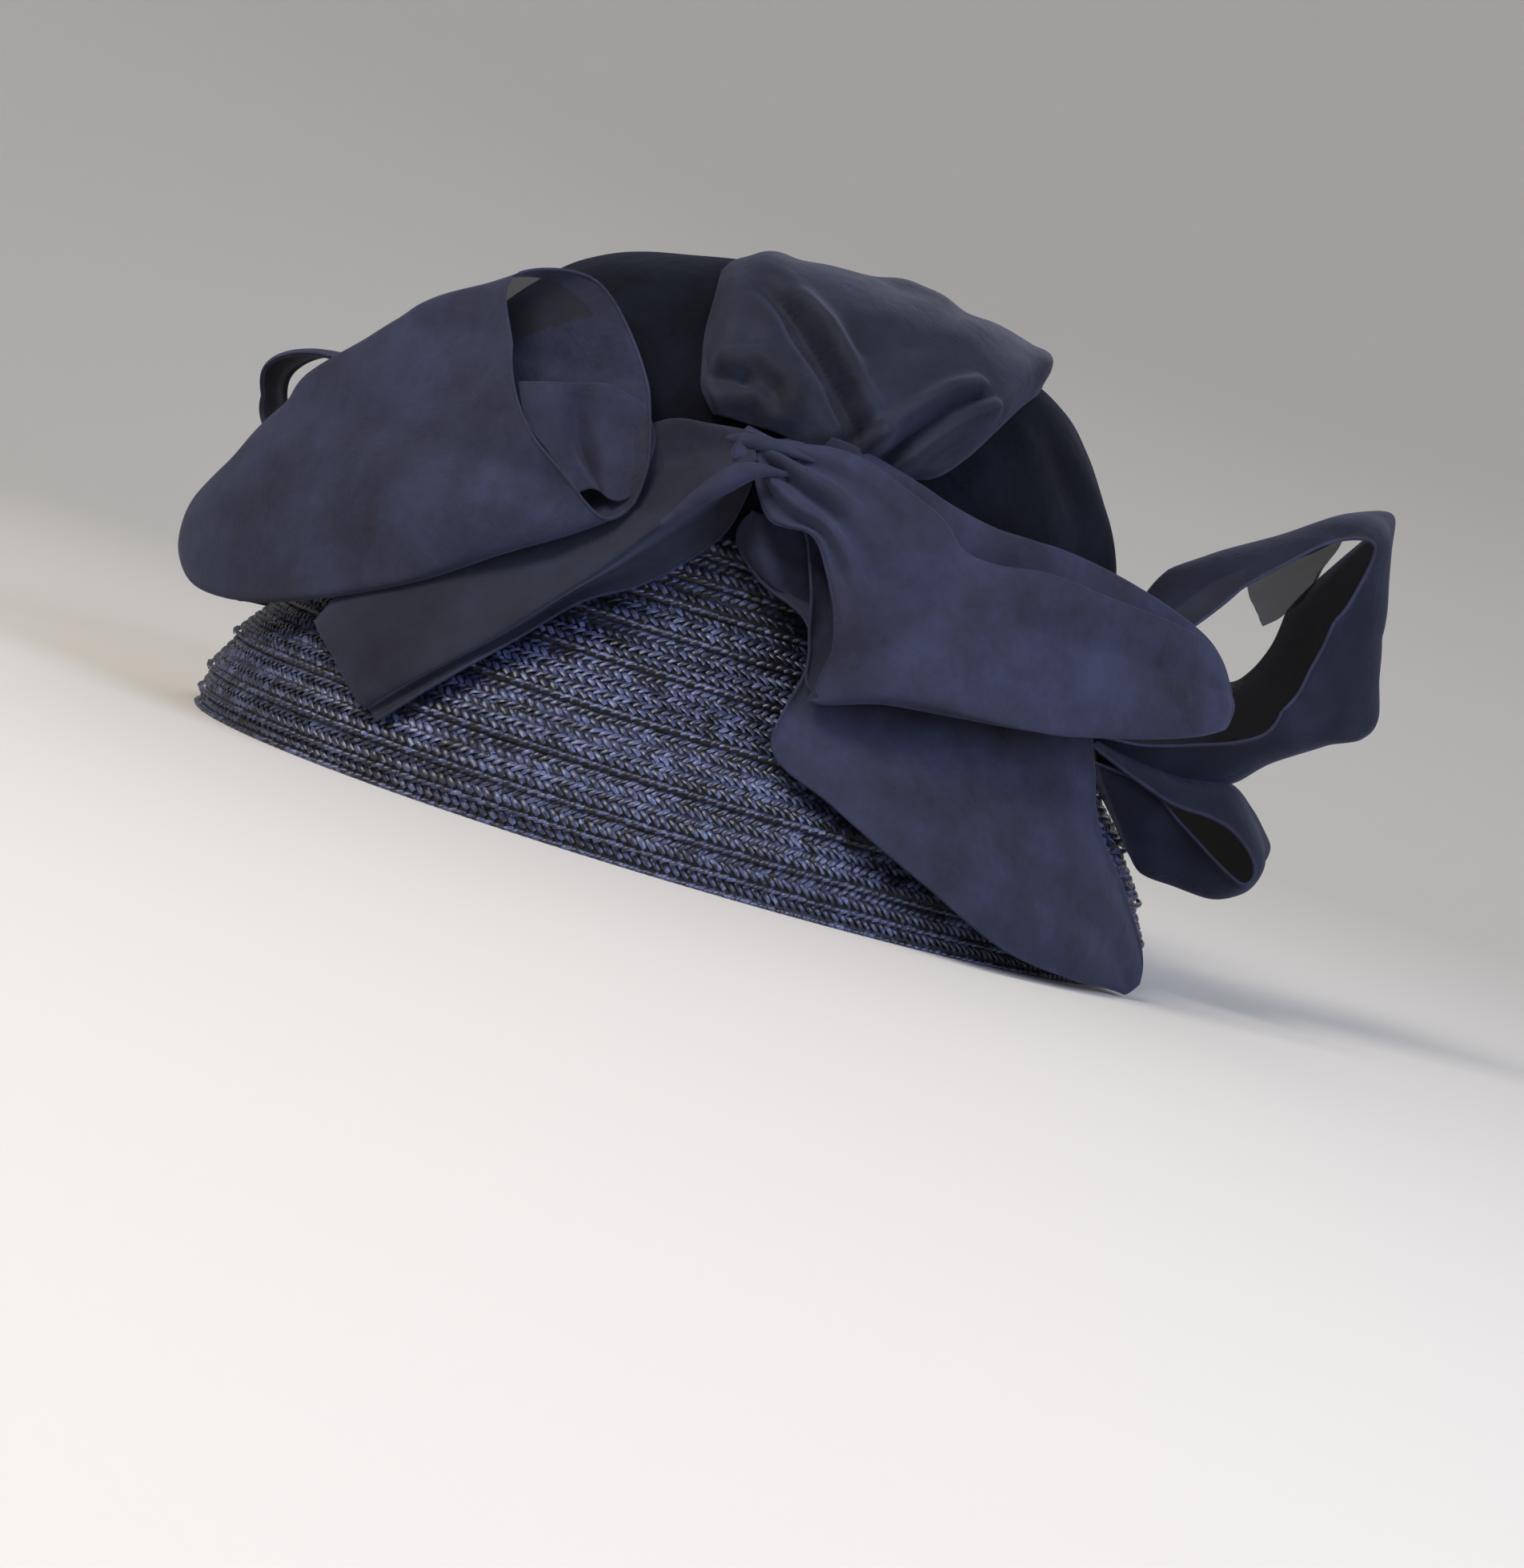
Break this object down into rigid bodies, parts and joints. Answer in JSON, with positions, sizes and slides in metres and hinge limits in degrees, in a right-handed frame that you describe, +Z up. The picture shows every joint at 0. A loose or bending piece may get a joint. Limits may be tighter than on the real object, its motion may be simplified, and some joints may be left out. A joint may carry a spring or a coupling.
{
  "type": "wide-brim hat",
  "caption": "Bell-brimmed hat of sewn straw braid with a lined brim, an organza-covered crown, a large organza bow at the front side and loose loops behind",
  "frame": {"origin": "on the floor under the middle of the hat's outer box, at the level of the rim", "axes": "+Z up, -Y the front of the hat, +X the wearer's left"},
  "size_m": [0.2615, 0.3137, 0.1684],
  "materials": {
    "straw_braid": "glossy sewn straw braid, navy",
    "lining": "matte dark lining cloth",
    "organza_crown": "silk organza, soft sheen, navy",
    "organza_bow": "silk organza, soft sheen, slightly see-through, navy"
  },
  "bodies": {
    "root": {"straw_body": "straw_braid", "brim_lining": "lining", "crown_drape": "organza_crown", "crown_puff": "organza_crown", "bow_knot": "organza_bow", "left_loop": "organza_bow", "left_tail": "organza_bow", "right_loop": "organza_bow", "right_tail": "organza_bow", "back_knot": "organza_bow", "back_loop_upper": "organza_bow", "back_loop_lower": "organza_bow", "far_loop": "organza_bow", "far_tail": "organza_bow"}
  },
  "joints": []
}
